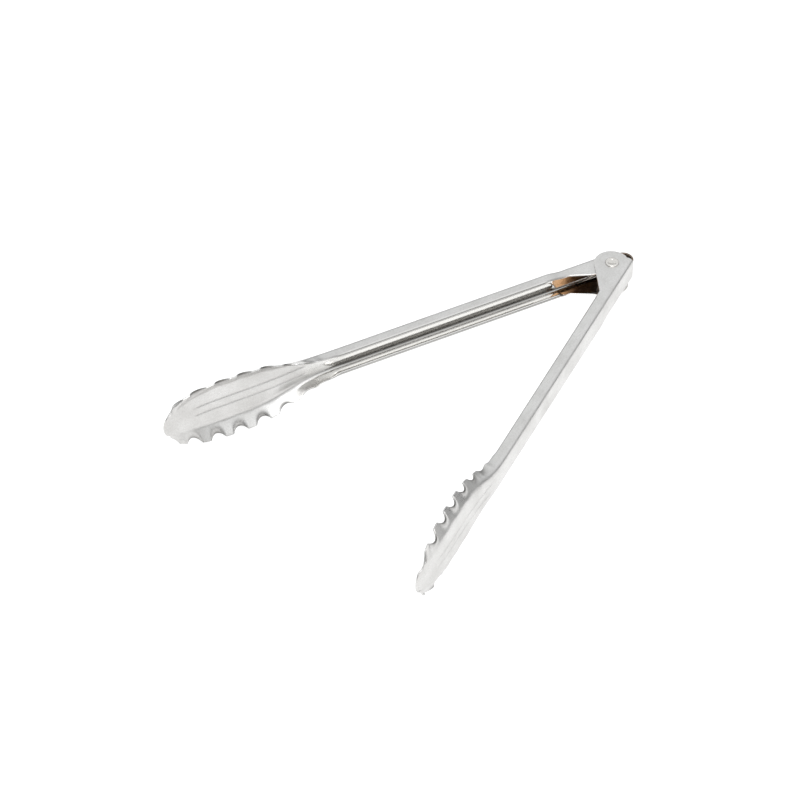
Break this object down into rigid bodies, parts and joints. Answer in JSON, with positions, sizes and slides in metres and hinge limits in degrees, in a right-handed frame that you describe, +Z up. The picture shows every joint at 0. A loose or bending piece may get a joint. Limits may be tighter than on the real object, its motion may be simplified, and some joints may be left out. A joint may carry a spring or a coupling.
{
  "type": "spring loaded kitchen tongs",
  "caption": "Long-armed kitchen tongs: pressed sheet arms with scalloped dished heads, pivoting on a rivet and held open by a bent leaf spring.",
  "frame": {"origin": "centre of the rivet's flat lower face, on the hinge axis", "axes": "+Z up along the hinge axis; +X out of the hinge end, the heads lie towards -X and the arms open evenly either side of the X axis"},
  "size_m": [0.2958, 0.1924, 0.0451],
  "materials": {
    "polished_sheet": "bright polished",
    "rivet_steel": "bright",
    "sleeve_steel": "plain turned",
    "blued_spring": "dark tempered"
  },
  "bodies": {
    "outer_arm": {"outer_arm": "polished_sheet", "hinge_rivet": "rivet_steel", "spacer_sleeve": "sleeve_steel", "leaf_spring": "blued_spring"},
    "inner_arm": {"inner_arm": "polished_sheet"}
  },
  "joints": [
    {"name": "arm_pivot", "type": "hinge", "parent": "outer_arm", "child": "inner_arm", "pos_m": [0, 0, 0.00925], "axis": [0, 0, 1], "range_deg": [0, 36.3], "stiffness_Nm_per_rad": 0.9, "springref_deg": -8.59, "deforming": ["leaf_spring"]}
  ]
}
